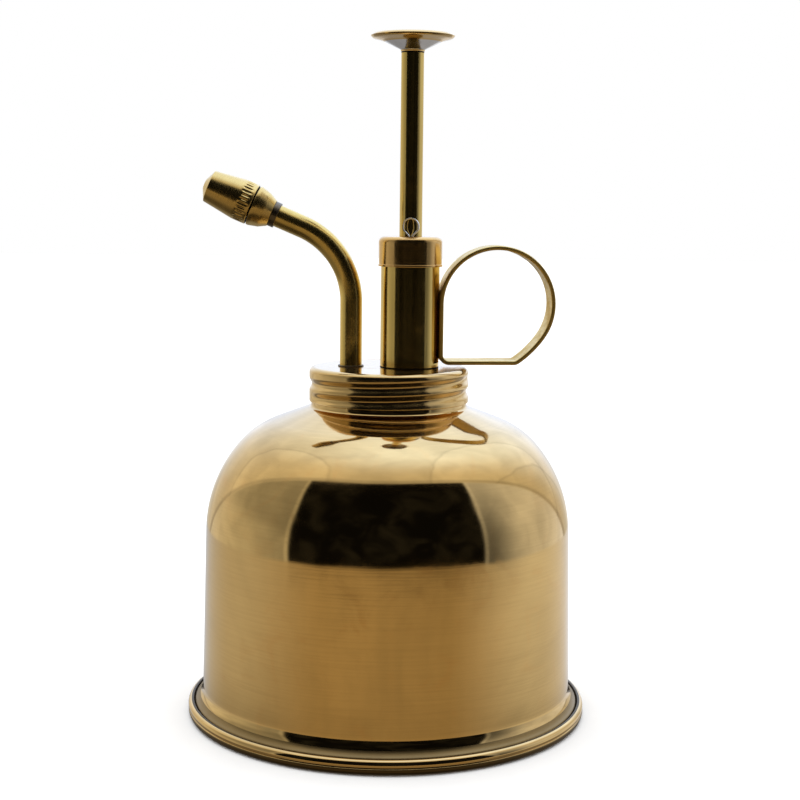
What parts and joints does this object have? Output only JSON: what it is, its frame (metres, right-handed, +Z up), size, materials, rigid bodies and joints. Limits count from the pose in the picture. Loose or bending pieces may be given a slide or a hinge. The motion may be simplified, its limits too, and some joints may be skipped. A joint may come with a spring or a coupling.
{
  "type": "pump sprayer",
  "caption": "Brass plant mister: bell-shaped tank, screw cap with a thumb pump and finger loop, and a curved spout with a turning nozzle.",
  "frame": {"origin": "centre of the rolled rim's underside, on the surface that the mister stands on", "axes": "+Z up along the tank's axis; the spout points to -X, the finger loop to +X; the split pin is on the -Y side"},
  "size_m": [0.098, 0.098, 0.165],
  "materials": {
    "polished_brass": "polished",
    "drawn_brass": "satin, drawn lengthwise",
    "machined_brass": "turned",
    "solder": "dull grey",
    "steel_wire": "bright drawn wire",
    "steel_ball": "ground",
    "spring_steel": "drawn wire",
    "black_rubber": "matt",
    "leather_cup": "oiled",
    "clear_plastic": "milky"
  },
  "bodies": {
    "tank": {"reservoir_shell": "polished_brass", "base_plate": "polished_brass", "base_rim": "polished_brass", "neck_ring": "polished_brass"},
    "seal_ring": {"cap_gasket": "black_rubber"},
    "head": {"screw_cap": "polished_brass", "pump_barrel": "drawn_brass", "rod_guide": "machined_brass", "gland_packing": "black_rubber", "barrel_cap": "polished_brass", "split_pin": "steel_wire", "finger_loop": "drawn_brass", "spout_tube": "drawn_brass", "spout_base_ring": "solder", "nozzle_washer": "solder", "nozzle_body": "machined_brass", "swirl_insert": "machined_brass", "valve_block": "machined_brass", "bore_plug": "machined_brass", "inlet_seat": "machined_brass", "ball_stop_pins": "steel_wire", "dip_tube": "clear_plastic", "strainer": "machined_brass", "return_spring": "spring_steel"},
    "nozzle_seal_ring": {"nozzle_seal": "black_rubber"},
    "nozzle": {"nozzle_cap": "machined_brass"},
    "plunger": {"plunger_rod": "drawn_brass", "thumb_dish": "polished_brass", "piston": "machined_brass", "piston_cup": "leather_cup", "piston_nut": "machined_brass"},
    "inlet_valve": {"inlet_ball": "steel_ball"},
    "outlet_valve": {"outlet_ball": "steel_ball"}
  },
  "joints": [
    {"name": "head_rise", "type": "slide", "parent": "tank", "child": "seal_ring", "axis": [0, 0, 1], "range_m": [0, 0.0065]},
    {"name": "head_turn", "type": "hinge", "parent": "seal_ring", "child": "head", "pos_m": [0, 0, 0], "axis": [0, 0, 1], "range_deg": [0, 720]},
    {"name": "nozzle_advance", "type": "slide", "parent": "head", "child": "nozzle_seal_ring", "axis": [-0.9205, 0, 0.3907], "range_m": [-0.0002, 0.001]},
    {"name": "nozzle_turn", "type": "hinge", "parent": "nozzle_seal_ring", "child": "nozzle", "pos_m": [-0.0295, 0, 0.12272], "axis": [-0.9205, 0, 0.3907], "range_deg": [-92, 452]},
    {"name": "plunger_stroke", "type": "slide", "parent": "head", "child": "plunger", "axis": [0, 0, -1], "range_m": [0, 0.038], "stiffness_N_per_m": 180, "springref_m": -0.012, "deforming": ["return_spring"]},
    {"name": "inlet_ball_lift", "type": "slide", "parent": "head", "child": "inlet_valve", "axis": [0, 0, 1], "range_m": [0, 0.001]},
    {"name": "outlet_ball_lift", "type": "slide", "parent": "head", "child": "outlet_valve", "axis": [0, 0, 1], "range_m": [0, 0.001]}
  ],
  "couplings": [
    {"joint": "head_rise", "follows": "head_turn", "m_per_rad": 0.0005093},
    {"joint": "nozzle_turn", "follows": "nozzle_advance", "rad_per_m": 7854}
  ]
}
